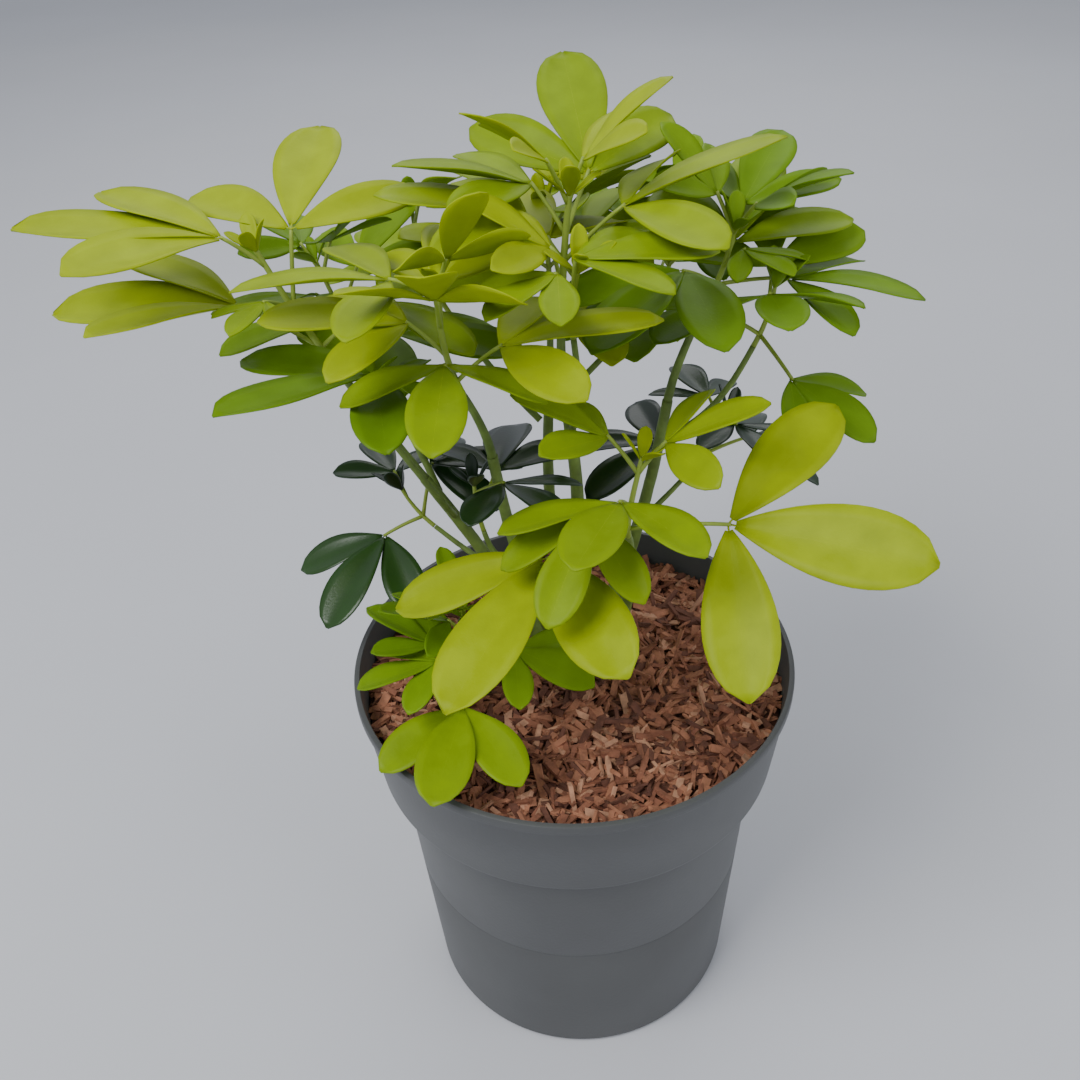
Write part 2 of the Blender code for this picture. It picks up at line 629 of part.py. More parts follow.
def make_mass(name, line, pieces):
    """One solid: the mass's stem with its petioles and leaflets fused on."""
    mass = MASSES[name]
    stem = make_object(name, *tube(*line, SHOOT_SIDES), TONES[mass.tone], 0.4)
    group = bpy.data.collections.new(name + "_pieces")
    bpy.context.scene.collection.children.link(group)
    parts = []
    for index, piece in enumerate(pieces):
        part = make_object("%s_piece_%d" % (name, index), *piece, TONES[mass.tone])
        bpy.context.scene.collection.objects.unlink(part)
        group.objects.link(part)
        parts.append(part)
    join = stem.modifiers.new("join", "BOOLEAN")
    join.operation = "UNION"
    join.operand_type = "COLLECTION"
    join.collection = group
    fused = bpy.data.meshes.new_from_object(stem.evaluated_get(bpy.context.evaluated_depsgraph_get()))
    points, faces = biggest_body(fused)
    stem.modifiers.clear()
    for part in parts:
        bpy.data.objects.remove(part)
    bpy.data.collections.remove(group)
    mesh = stem.data
    mesh.clear_geometry()
    mesh.from_pydata(points, [], faces)


def plan():
    """Lines of all limbs and shoots, and the leaves of every mass."""
    limbs = {name: stem_line(stem) for name, stem in STEMS.items()}
    boughs = {name: bough_line(bough, limbs) for name, bough in BOUGHS.items()}
    limbs.update(boughs)
    limbs["low_front_shoot"] = stem_line(LOW_SHOOT)
    lines = {name: shoot_line(mass, limbs) for name, mass in MASSES.items()}
    return limbs, lines, grow_leaves(lines, limbs)


def main():
    for thing in list(bpy.data.objects):
        bpy.data.objects.remove(thing)
    limbs, lines, grown = plan()
    make_pot()
    make_filling([stem.foot for stem in STEMS.values()] + [LOW_SHOOT.foot])
    for name, (path, radii) in limbs.items():
        standing = name not in BOUGHS
        sides = STEM_SIDES if standing else BOUGH_SIDES
        thing = make_object(name, *tube(path, radii, sides, standing), WOOD, 0.6)
        thing.data.shade_smooth()
    for name in MASSES:
        make_mass(name, lines[name], grown[name])


if __name__ == "__main__":
    main()
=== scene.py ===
"""Looks of the golden mexican orange blossom in its nursery pot.

Metres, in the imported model's frame: the origin is the centre of the flat underside
of the pot, +Z is up and the plant is seen from -Y.  Limbs and leaves grow by the same
rule, tables and seeds as the solids, and are carried on to real leaf outlines, veins,
buds and loose bark.
"""

import math
import random
from collections import namedtuple

import bpy
from mathutils import Matrix, Vector, noise
from mathutils.bvhtree import BVHTree
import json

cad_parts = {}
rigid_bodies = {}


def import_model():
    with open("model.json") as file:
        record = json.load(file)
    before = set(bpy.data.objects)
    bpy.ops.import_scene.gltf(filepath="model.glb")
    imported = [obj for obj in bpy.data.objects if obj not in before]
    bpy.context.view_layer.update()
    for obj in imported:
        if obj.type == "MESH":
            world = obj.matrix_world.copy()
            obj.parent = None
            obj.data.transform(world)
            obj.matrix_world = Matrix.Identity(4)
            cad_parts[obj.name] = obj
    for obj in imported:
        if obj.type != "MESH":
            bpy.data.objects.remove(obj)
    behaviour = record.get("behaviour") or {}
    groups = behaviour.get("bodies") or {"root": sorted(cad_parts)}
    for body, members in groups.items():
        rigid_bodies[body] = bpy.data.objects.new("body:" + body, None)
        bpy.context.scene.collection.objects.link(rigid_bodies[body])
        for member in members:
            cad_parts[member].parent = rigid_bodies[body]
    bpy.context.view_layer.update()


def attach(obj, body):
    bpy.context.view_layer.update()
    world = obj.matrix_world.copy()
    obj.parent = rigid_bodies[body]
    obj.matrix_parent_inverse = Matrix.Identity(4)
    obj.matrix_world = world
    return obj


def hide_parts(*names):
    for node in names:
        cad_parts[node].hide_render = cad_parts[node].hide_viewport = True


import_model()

# Pot: outer radii and heights, as in its solid
RIM_RADIUS = 0.095
POT_HEIGHT = 0.186
COLLAR_HEIGHT = 0.0445
COLLAR_FOOT_RADIUS = 0.0893
BODY_TOP_RADIUS = 0.0816
BASE_RADIUS = 0.0736
POT_WALL = 0.0018
POT_FLOOR = 0.0025
LIP_HEIGHT = 0.0045
LIP_PROUD = 0.0009
STEP_RISE = 0.0022
FOOT_CHAMFER = 0.0022

# Pot's finer shape: hollow underside, moulding line round the body, soft step and
# lip, bevel inside the rim, and the angle from which an edge is a crease
POT_SIDES = 192
HOLLOW_HEIGHT = 0.0012
HOLLOW_INSET = 0.010
HOLLOW_EDGE_INSET = 0.009
MOULDING_SHARE = 0.55
MOULDING_DEPTH = 0.0003
MOULDING_REACH = 0.0008
STEP_OVERHANG = 0.0012
STEP_SOFT = 0.1
LIP_UNDERCUT = 0.001
LIP_ROUNDING = 0.3
RIM_BEVEL_ACROSS = 0.0004
RIM_BEVEL_DOWN = 0.0006
CREASE_ANGLE = 40

# Filling: potting mix, and a layer of bark on it
GAP = 0.0003
MIX_TOP = 0.1660
BARK_TOP = 0.1745

# Wood: how near to Y a direction takes X as its helper, sides of a plain tube, flare of
# a stem at the bark and the ring that shapes it, steps of each kind of path, taper of a
# shoot, and how a bough leaves the side of its stem
NEAR_Y = 0.9
SHOOT_SIDES = 5
FLARE_RING = 0.35
FLARE = 0.0022
FLARE_HEIGHT = 0.008
STEM_STEPS = 7
BOUGH_STEPS = 4
SHOOT_STEPS = 4
SHOOT_TAPER = 0.30
LEAVING_ACROSS = 0.8
LEAVING_ALONG = 0.6
BOUGH_BEND = 0.4

# Leaf: a petiole with three leaflets; shares are of the leaflet's length
PETIOLE_RADIUS = 0.0008
HUB_RADIUS = 0.0011
HUB_FRONT = 0.55
HUB_DEPTH = 0.0011
HALF_WIDTH = 0.200
WIDEST = 0.68
SHOULDER = 0.30
SHOULDER_WIDTH = 0.62
LEAF_TILT = 10
BLADE_ROLL = 12
KEEL = 0.0008
FOLD = 0.16
DROOP = 0.07
SIDE_LEAFLET = 0.84
CLEARANCE = 0.0006
LIFT = 28
RIM_CHECK_SIDES = 24

# Leaves by the rule: where the pairs stand on a shoot, how much smaller the last pair
# is, the steepest petiole in degrees, and how far each measure wanders from leaf to leaf
FIRST_NODE = 0.6
LAST_NODE = 0.97
LAST_SMALLER = 0.35
STEEPEST = 80
TURN_WANDERS = 12
RISE_WANDERS = 8
SIZE_RANGE = (0.92, 1.08)
SPREAD_RANGE = (48, 62)
PETIOLE_RANGE = (0.38, 0.50)
CUP_RANGE = (-8, 0)

# Leaflets of one leaf: how far each measure wanders from leaflet to leaflet
LEAFLET_SPREAD = (0.97, 1.05)
LEAFLET_RAISED = 2
LEAFLET_LENGTH = (0.93, 1.06)
LEAFLET_WIDTH = (0.94, 1.08)
LEAFLET_DROOP = (0.3, 1.7)

# Crown space, which no leaf leaves: an ellipsoid round the stems
CROWN_CENTRE = Vector((0.0, 0.015, 0.290))
CROWN_REACH = Vector((0.240, 0.200, 0.175))
BARK_CLEAR = 0.003

Stem = namedtuple("Stem", "foot fork bow radius fork_radius")
Bough = namedtuple("Bough", "parent share tip radius tip_radius")
Mass = namedtuple("Mass", "limb tip pairs turn leaf rise tone")
Leaf = namedtuple("Leaf", "bearing rise length spread petiole petiole_bearing petiole_rise tilt cup",
                  defaults=(0, -4))

# Each stem stands in the bark at its foot (x, y) and leans to its fork (x, y, z)
STEMS = {
    "stem_left": Stem((-0.016, 0.030), (-0.058, 0.028, 0.262), (0.002, 0.000), 0.0033, 0.0024),
    "stem_front": Stem((-0.004, 0.012), (-0.028, -0.002, 0.290), (-0.004, 0.002), 0.0031, 0.0022),
    "stem_centre": Stem((0.002, 0.036), (0.001, 0.026, 0.300), (0.004, 0.003), 0.0034, 0.0024),
    "stem_right": Stem((0.020, 0.044), (0.044, 0.042, 0.285), (0.003, 0.002), 0.0032, 0.0023),
    "stem_front_right": Stem((0.016, 0.016), (0.024, -0.008, 0.244), (0.003, -0.003), 0.0030, 0.0022),
    "stem_back": Stem((-0.002, 0.058), (-0.004, 0.080, 0.270), (-0.003, 0.004), 0.0032, 0.0023),
}

# Each bough leaves its stem at a share of the stem's length, and ends in its mass
BOUGHS = {
    "bough_far_left": Bough("stem_left", 1.0, (-0.085, 0.021, 0.318), 0.0021, 0.0015),
    "bough_left_front": Bough("stem_left", 0.80, (-0.068, 0.008, 0.296), 0.0016, 0.0012),
    "bough_left_back": Bough("stem_left", 0.88, (-0.078, 0.066, 0.292), 0.0017, 0.0013),
    "bough_low_left": Bough("stem_left", 0.50, (-0.058, 0.044, 0.226), 0.0014, 0.0011),
    "bough_front_left": Bough("stem_front", 1.0, (-0.036, -0.010, 0.321), 0.0019, 0.0014),
    "bough_inner_left": Bough("stem_front", 0.55, (-0.034, 0.003, 0.252), 0.0014, 0.0011),
    "bough_top": Bough("stem_centre", 1.0, (0.001, 0.024, 0.338), 0.0021, 0.0016),
    "bough_centre_front": Bough("stem_centre", 0.88, (0.004, 0.000, 0.336), 0.0015, 0.0012),
    "bough_right": Bough("stem_right", 1.0, (0.060, 0.044, 0.330), 0.0020, 0.0014),
    "bough_right_outer": Bough("stem_right", 0.85, (0.076, 0.034, 0.312), 0.0016, 0.0012),
    "bough_front_right": Bough("stem_front_right", 1.0, (0.022, -0.019, 0.262), 0.0019, 0.0014),
    "bough_low_right": Bough("stem_right", 0.50, (0.058, 0.058, 0.240), 0.0014, 0.0011),
    "bough_back_left": Bough("stem_back", 0.85, (-0.045, 0.102, 0.298), 0.0017, 0.0013),
    "bough_back_right": Bough("stem_back", 0.92, (0.038, 0.104, 0.292), 0.0017, 0.0013),
    "bough_back_top": Bough("stem_back", 1.0, (-0.002, 0.086, 0.308), 0.0019, 0.0014),
}

# Each mass grows from the end of its limb to its tip.  Leaves stand in pairs, each
# pair a quarter turn on from the last; leaf is the middle leaflet's length, and rise
# that of the lowest and the highest pair
MASSES = {
    "far_left_foliage": Mass(
        "bough_far_left", (-0.106, 0.018, 0.368), 3, 183, 0.062, (0, 38), "gold"),
    "left_front_foliage": Mass(
        "bough_left_front", (-0.073, 0.012, 0.318), 2, 200, 0.058, (0, 20), "lime"),
    "left_back_foliage": Mass(
        "bough_left_back", (-0.098, 0.080, 0.338), 3, 150, 0.056, (5, 40), "lime"),
    "low_left_foliage": Mass(
        "bough_low_left", (-0.072, 0.052, 0.242), 2, 215, 0.052, (-20, 10), "dark"),
    "front_left_foliage": Mass(
        "bough_front_left", (-0.041, -0.013, 0.366), 4, 266, 0.052, (0, 40), "gold"),
    "inner_left_foliage": Mass(
        "bough_inner_left", (-0.036, 0.001, 0.276), 2, 250, 0.056, (-15, 5), "dark"),
    "top_foliage": Mass(
        "bough_top", (0.005, 0.026, 0.379), 4, 100, 0.058, (5, 36), "gold"),
    "centre_front_foliage": Mass(
        "bough_centre_front", (0.006, -0.006, 0.364), 3, 350, 0.050, (0, 25), "gold"),
    "right_foliage": Mass(
        "bough_right", (0.068, 0.046, 0.356), 4, 60, 0.054, (0, 30), "lime"),
    "right_outer_foliage": Mass(
        "bough_right_outer", (0.082, 0.032, 0.338), 3, 345, 0.052, (0, 30), "lime"),
    "front_right_foliage": Mass(
        "bough_front_right", (0.026, -0.027, 0.302), 3, 340, 0.058, (0, 30), "gold"),
    "low_right_foliage": Mass(
        "bough_low_right", (0.074, 0.062, 0.264), 2, 20, 0.052, (-15, 10), "dark"),
    "back_left_foliage": Mass(
        "bough_back_left", (-0.060, 0.118, 0.344), 3, 110, 0.054, (0, 40), "lime"),
    "back_right_foliage": Mass(
        "bough_back_right", (0.056, 0.120, 0.340), 3, 70, 0.054, (0, 40), "lime"),
    "back_top_foliage": Mass(
        "bough_back_top", (-0.004, 0.090, 0.352), 4, 130, 0.054, (0, 38), "gold"),
    "low_front_foliage": Mass(
        "low_front_shoot", (-0.044, -0.018, 0.226), 4, 200, 0.036, (-5, 45), "lime"),
}

# The low shoot comes straight out of the bark at the front
LOW_SHOOT = Stem((-0.040, -0.008), (-0.042, -0.012, 0.190), (0.000, 0.000), 0.0020, 0.0016)

# Leaves that stand out of the pattern, by mass, pair and side: the bearing, rise and
# length of the middle leaflet, the spread of the others, and the petiole's length,
# bearing and rise; then, where it matters, how far the leaf is tilted about its middle
# leaflet and how far the other two are raised
OWN_WAY = {
    "far_left_foliage": {
        (0, 0): Leaf(183, 5, 0.065, 38, 0.034, 195, 40, 0, 6),
        (1, 0): Leaf(84, 22, 0.060, 60, 0.029, 60, 78),
        (1, 1): Leaf(240, 2, 0.024, 45, 0.020, 245, 33),
        (2, 0): Leaf(188, 8, 0.068, 36, 0.018, 200, 47, 0, 6),
        (2, 1): Leaf(112, 25, 0.038, 40, 0.012, 125, 50),
    },
    "left_front_foliage": {
        (0, 0): Leaf(199, 0, 0.062, 60, 0.030, 275, 62),
        (0, 1): Leaf(15, 0, 0.030, 50, 0.024, 320, 60),
    },
    "front_left_foliage": {
        (0, 0): Leaf(267, -5, 0.048, 65, 0.013, 245, 57),
        (0, 1): Leaf(15, 8, 0.056, 60, 0.026, 333, 44),
        (1, 0): Leaf(185, 8, 0.050, 50, 0.018, 180, 50),
        (1, 1): Leaf(339, 0, 0.032, 50, 0.014, 340, 35),
        (2, 0): Leaf(88, 12, 0.042, 42, 0.017, 90, 40),
        (3, 0): Leaf(188, 8, 0.052, 65, 0.016, 172, 20),
    },
    "inner_left_foliage": {
        (0, 0): Leaf(272, -15, 0.054, 45, 0.012, 72, 20),
    },
    "low_left_foliage": {
        (0, 0): Leaf(237, -20, 0.050, 50, 0.019, 190, -20),
        (0, 1): Leaf(345, -8, 0.044, 55, 0.028, 350, 78),
    },
    "top_foliage": {
        (1, 0): Leaf(178, 10, 0.054, 48, 0.023, 190, 58),
        (1, 1): Leaf(8, 20, 0.060, 60, 0.032, 336, 46),
        (2, 0): Leaf(77, 22, 0.062, 50, 0.028, 55, 31),
        (2, 1): Leaf(150, 15, 0.050, 45, 0.021, 125, 50),
    },
    "centre_front_foliage": {
        (0, 0): Leaf(357, 3, 0.048, 40, 0.032, 270, 69),
        (0, 1): Leaf(225, -5, 0.034, 45, 0.030, 250, 60),
    },
    "right_foliage": {
        (0, 0): Leaf(342, 3, 0.051, 48, 0.027, 344, 10),
        (1, 0): Leaf(67, 20, 0.060, 55, 0.011, 50, 50),
        (1, 1): Leaf(300, 0, 0.028, 45, 0.013, 320, 50),
        (2, 0): Leaf(120, 10, 0.035, 45, 0.020, 135, 5),
    },
    "right_outer_foliage": {
        (0, 0): Leaf(318, -18, 0.040, 50, 0.022, 300, -30),
    },
    "front_right_foliage": {
        (0, 0): Leaf(341, 5, 0.072, 65, 0.040, 338, 18, -30),
        (0, 1): Leaf(237, -12, 0.070, 55, 0.036, 212, 5, -10),
        (1, 0): Leaf(245, -25, 0.042, 50, 0.032, 235, 25),
    },
    "low_front_foliage": {
        (0, 0): Leaf(258, -2, 0.050, 40, 0.027, 264, 4),
        (1, 0): Leaf(150, 18, 0.033, 45, 0.018, 208, 36),
        (1, 1): Leaf(323, 0, 0.040, 50, 0.020, 17, -15),
        (2, 0): Leaf(200, 0, 0.034, 45, 0.017, 232, 0),
    },
}

# Turns and raises that a leaf tries, in degrees, until it is clear
TRIES = [(0, 0), (10, 0), (-10, 0), (0, 12), (0, -12), (20, 8), (-20, 8), (20, -8), (-20, -8),
         (32, 0), (-32, 0), (45, 10), (-45, 10)]

# Camera: where the photo was taken from, in metres and degrees
CAMERA_PLACE = Vector((-0.0116, -0.3552, 0.5121))
CAMERA_PITCH = 36.631
CAMERA_ROLL = -2.989
LENS_MM = 36.667
SENSOR_MM = 36.0
CLIP_START = 0.01

# Blade: rows along it and columns across it, its outline's two powers, its first and
# last row, and how it curls up from its midrib and ripples at its edge
ROWS = 14
COLUMNS = 6
ROUND_BASE = 1.05
ROUND_TIP = 0.60
BLADE_WIDER = 1.02
BLADE_THICKNESS = 0.00045
FIRST_ROW = 0.04
LAST_ROW = 0.9985
CURL_POWER = 1.4
CURL = 1.6
RIPPLE = 0.05
RIPPLE_TURNS = 7
WAVE_BY_TURN = 6.0
WAVE_BY_SIZE = 100

# Veins: raised slivers, a midrib and pairs of side veins; places are shares of the
# blade's length and of its half width
VEIN_WIDTH = 0.00042
VEIN_TAPER = 0.75
VEIN_PAIRS = 5
VEIN_LIFT = 0.00012
MIDRIB_WIDER = 1.8
MIDRIB_END = 0.94
MIDRIB_STEPS = 10
SIDE_VEIN_WIDER = 0.55
SIDE_VEIN_FIRST = 0.18
SIDE_VEIN_SPAN = 0.62
SIDE_VEIN_RUN = 0.16
SIDE_VEIN_END = 0.9
SIDE_VEIN_ACROSS = 0.82
SIDE_VEIN_STEPS = 4

# Petiole: thicker at its node, and bent a little upwards
PETIOLE_STEPS = 6
PETIOLE_SIDES = 8
PETIOLE_FOOT = 1.15
PETIOLE_TAPER = 0.25
PETIOLE_BEND = 0.55
PETIOLE_BOW = 0.05

# Bud: young leaves at the end of a shoot
BUD_LEAVES = 4
BUD_LENGTH = 0.016
BUD_WIDTH = 0.19
BUD_DROOP = 0.05
BUD_ROOT = 0.001
BUD_SPREAD = 0.6
BUD_TURN_WANDERS = 15
BUD_OPEN = (0.35, 0.75)
BUD_SIZES = (0.7, 1.1)

# Bark of a limb: rings between two points of its path, height where it turns green,
# and the depth of its ridges as a share of its radius
LIMB_RINGS = 6
LIMB_SIDES = 20
SHOOT_ROUND_SIDES = 10
LIMB_CURVE = 0.25
GREEN_HEIGHT = 0.27
GREEN_SPAN = 0.09
RIDGE_GREEN = 0.02
RIDGE_WOODY = 0.10
RIDGE_INSET = 0.04
RIDGE_ACROSS = 900
RIDGE_ALONG = 130

# Loose bark: sizes of a chip, how ragged it is, how deep it lies, how far it leans in
# radians, how common each shade is, how near the wall it comes, and the bed underneath
CHIP_SEED = 11
CHIPS = 4200
CHIP_LENGTH = (0.007, 0.024)
CHIP_WIDTH = (0.0014, 0.0046)
CHIP_DEPTH = (0.0006, 0.0016)
CHIP_SHORTER = (0.5, 1.0)
CHIP_END = (0.7, 1.0)
CHIP_EDGE = (0.5, 1.0)
CHIP_SUNK = (0.0012, 0.0060)
CHIP_PITCH = 0.30
CHIP_ROLL = 0.5
CHIP_SHARES = (5, 4, 2, 3)
CHIP_MARGIN = 0.003
CHIP_PAST_EDGE = 0.002
CHIP_FACES = [(0, 2, 4, 6), (1, 7, 5, 3), (0, 1, 3, 2), (2, 3, 5, 4), (4, 5, 7, 6), (6, 7, 1, 0)]
BED_SUNK = 0.0045
BED_SIDES = 96

# Every material: where its colours meet, detail of its clouds, depth of its grain
COLOUR_STOPS = (0.3, 0.7)
CLOUD_DETAIL = 5.0
GRAIN_DEPTH = 0.0005

# Base colours, linear
LEAF_SHADES = {
    "gold": [(0.33, 0.42, 0.0), (0.27, 0.37, 0.0), (0.22, 0.33, 0.0)],
    "lime": [(0.17, 0.30, 0.0), (0.13, 0.25, 0.0), (0.22, 0.34, 0.0)],
    "dark": [(0.008, 0.030, 0.007), (0.012, 0.040, 0.008), (0.020, 0.065, 0.008)],
}
VEIN_COLOUR = {
    "gold": (0.42, 0.50, 0.002),
    "lime": (0.26, 0.40, 0.002),
    "dark": (0.04, 0.12, 0.02),
}
LEAF_ROUGHNESS = {"gold": 0.48, "lime": 0.46, "dark": 0.30}
LEAF_GLOSS = {"gold": 0.16, "lime": 0.16, "dark": 0.5}
PETIOLE_GREEN = (0.30, 0.40, 0.05)
WOOD_GREEN = (0.17, 0.25, 0.05)
POT_GREY = (0.085, 0.088, 0.088)
MIX_BROWN = (0.035, 0.02, 0.012)
BED_BROWN = (0.07, 0.025, 0.015)
CHIP_SHADES = [
    (0.38, 0.160, 0.090), (0.27, 0.105, 0.060), (0.50, 0.26, 0.16), (0.15, 0.060, 0.038)]
FLOOR_GREY = (0.62, 0.63, 0.66)

# Studio: the floor's half width, the sky, and each light's place, size and power
FLOOR_REACH = 6
SKY_COLOUR = (0.86, 0.90, 1.0, 1.0)
SKY_STRENGTH = 0.50
LIGHT_TARGET = Vector((0.0, 0.0, 0.2))
LIGHTS = {
    "key": ((-0.9, -0.7, 1.7), 1.0, 26.0),
    "fill": ((1.4, -0.8, 1.2), 1.4, 9.0),
    "back": ((0.2, 1.5, 1.5), 1.4, 10.0),
}


def bearing_vector(bearing, rise):
    """Unit vector at a bearing and a rise, both in degrees."""
    flat = math.cos(math.radians(rise))
    turn = math.radians(bearing)
    return Vector((flat * math.cos(turn), flat * math.sin(turn), math.sin(math.radians(rise))))


def ring_frame(along):
    """Two unit vectors square to a direction and to each other."""
    helper = Vector((0.0, 1.0, 0.0)) if abs(along.y) < NEAR_Y else Vector((1.0, 0.0, 0.0))
    first = along.cross(helper).normalized()
    return first, along.cross(first).normalized()


def tube(path, radii, sides, level_foot=False):
    """Closed tube along a path: its points and its faces, facing out."""
    points = []
    last = len(path) - 1
    for index, centre in enumerate(path):
        along = (path[min(index + 1, last)] - path[max(index - 1, 0)]).normalized()
        if level_foot and index == 0:
            along = Vector((0.0, 0.0, 1.0))
        first, second = ring_frame(along)
        for side in range(sides):
            turn = 2 * math.pi * side / sides
            points.append(centre + radii[index] * (math.cos(turn) * first + math.sin(turn) * second))
    faces = [tuple(reversed(range(sides))), tuple(range(last * sides, (last + 1) * sides))]
    for ring in range(last):
        for side in range(sides):
            turned = (side + 1) % sides
            low, high = ring * sides, (ring + 1) * sides
            faces.append((low + side, low + turned, high + turned, high + side))
    return points, faces


def lathe(profile, sides):
    """Solid of revolution about Z: the profile runs from the axis, out and back to it."""
    points = []
    rings = []
    for radius, height in profile:
        count = 1 if radius == 0.0 else sides
        rings.append(range(len(points), len(points) + count))
        for side in range(count):
            turn = 2 * math.pi * side / sides
            points.append(Vector((radius * math.cos(turn), radius * math.sin(turn), height)))
    faces = []
    for low, high in zip(rings, rings[1:]):
        for side in range(sides):
            turned = (side + 1) % sides
            corners = [low[side % len(low)], low[turned % len(low)],
                       high[turned % len(high)], high[side % len(high)]]
            face = [corner for place, corner in enumerate(corners) if corner not in corners[:place]]
            faces.append(tuple(face))
    return points, faces


def body_radius(height):
    """Outer radius of the pot's body below its collar."""
    share = height / (POT_HEIGHT - COLLAR_HEIGHT)
    return BASE_RADIUS + (BODY_TOP_RADIUS - BASE_RADIUS) * share


def collar_radius(height):
    """Outer radius of the pot's collar, above the step."""
    share = (height - (POT_HEIGHT - COLLAR_HEIGHT)) / COLLAR_HEIGHT
    return COLLAR_FOOT_RADIUS + (RIM_RADIUS - LIP_PROUD - COLLAR_FOOT_RADIUS) * share


def inner_radius(height):
    """Inner radius of the pot at a height."""
    if height > POT_HEIGHT - COLLAR_HEIGHT + POT_WALL:
        return collar_radius(height) - POT_WALL
    return body_radius(height) - POT_WALL


def smooth_path(start, end, bow, steps):
    """Points from start to end, bowed sideways in the middle."""
    side = Vector((*bow, 0.0))
    return [start.lerp(end, step / steps) + side * math.sin(math.pi * step / steps)
            for step in range(steps + 1)]


def stem_line(stem):
    """A stem's path and radii, flared at the bark."""
    foot = Vector((*stem.foot, BARK_TOP + GAP))
    path = smooth_path(foot, Vector(stem.fork), stem.bow, STEM_STEPS)
    path.insert(1, path[0].lerp(path[1], FLARE_RING))
    radii = []
    for point in path:
        share = (point.z - foot.z) / (path[-1].z - foot.z)
        flare = FLARE * math.exp(-(point.z - foot.z) / FLARE_HEIGHT)
        radii.append(stem.radius + (stem.fork_radius - stem.radius) * share + flare)
    return path, radii


def point_on(path, share):
    """Point, and the direction of the path, at a share of its steps."""
    place = share * (len(path) - 1)
    index = min(int(place), len(path) - 2)
    along = (path[index + 1] - path[index]).normalized()
    return path[index].lerp(path[index + 1], place - index), along


def bent_line(start, bend, tip, steps):
    """Points of a curve that leaves start towards bend and ends at tip."""
    shares = [step / steps for step in range(steps + 1)]
    return [start.lerp(bend, share).lerp(bend.lerp(tip, share), share) for share in shares]


def bough_line(bough, stems):
    """A bough's path and radii: a leader goes on from its stem, others leave its side."""
    path, radii = stems[bough.parent]
    start, along = point_on(path, bough.share)
    tip = Vector(bough.tip)
    if bough.share >= 1.0:
        out = along
        start = start + along * GAP
    else:
        across = tip - start
        across -= along * across.dot(along)
        out = across.normalized() * LEAVING_ACROSS + along * LEAVING_ALONG
        stem_radius = radii[int(bough.share * (len(radii) - 1))]
        clear = stem_radius + GAP + bough.radius * LEAVING_ALONG
        start = start + out * clear / LEAVING_ACROSS
    bend = start + out * (tip - start).length * BOUGH_BEND
    sizes = [bough.radius + (bough.tip_radius - bough.radius) * step / BOUGH_STEPS
             for step in range(BOUGH_STEPS + 1)]
    return bent_line(start, bend, tip, BOUGH_STEPS), sizes


def shoot_line(mass, limbs):
    """The stem of a mass, which goes on from the end of its limb."""
    path, radii = limbs[mass.limb]
    along = (path[-1] - path[-2]).normalized()
    start = path[-1] + along * GAP
    tip = Vector(mass.tip)
    bend = start + along * (tip - start).length / 2
    sizes = [radii[-1] * (1.0 - SHOOT_TAPER * step / SHOOT_STEPS) for step in range(SHOOT_STEPS + 1)]
    return bent_line(start, bend, tip, SHOOT_STEPS), sizes


def leaflet_points(hub, way, up, length, half, droop, grow):
    """Seven points of a leaflet: left, right and keel at two stations, and the tip."""
    left = up.cross(way).normalized()
    points = []
    for share, width in ((SHOULDER, half * SHOULDER_WIDTH), (WIDEST, half)):
        centre = hub + way * (share * length) - up * (droop * length * share * share)
        lift = up * (width * FOLD + grow)
        points.append(centre + left * (width + grow) + lift)
        points.append(centre - left * (width + grow) + lift)
        points.append(centre - up * (KEEL + grow))
    points.append(hub + way * (length + grow) - up * (droop * length))
    return points


def leaf_frame(node, leaf):
    """A leaf's petiole direction, hub, aim, up and left."""
    stalk = bearing_vector(leaf.petiole_bearing, leaf.petiole_rise)
    hub = node + stalk * leaf.petiole
    aim = bearing_vector(leaf.bearing, leaf.rise)
    level = bearing_vector(leaf.bearing + 90, 0)
    tilt = math.radians(leaf.tilt)
    up = aim.cross(level).normalized() * math.cos(tilt) + level * math.sin(tilt)
    return stalk, hub, aim, up, up.cross(aim).normalized()


def leaflet_pose(turn, leaf, aim, up, left, dice):
    """Direction, up, length, half width and droop of the leaflet on one side, or in the middle."""
    spread = math.radians(turn * leaf.spread * dice.uniform(*LEAFLET_SPREAD))
    raised = math.radians(abs(turn) * leaf.cup + dice.uniform(-LEAFLET_RAISED, LEAFLET_RAISED))
    way = aim * math.cos(spread) + left * math.sin(spread)
    way = (way * math.cos(raised) + up * math.sin(raised)).normalized()
    size = leaf.length * (SIDE_LEAFLET * dice.uniform(*LEAFLET_LENGTH) if turn else 1.0)
    half = size * HALF_WIDTH * dice.uniform(*LEAFLET_WIDTH)
    roll = math.radians(dice.uniform(-BLADE_ROLL, BLADE_ROLL))
    blade_up = up * math.cos(roll) + up.cross(way).normalized() * math.sin(roll)
    return way, blade_up, size, half, DROOP * dice.uniform(*LEAFLET_DROOP)


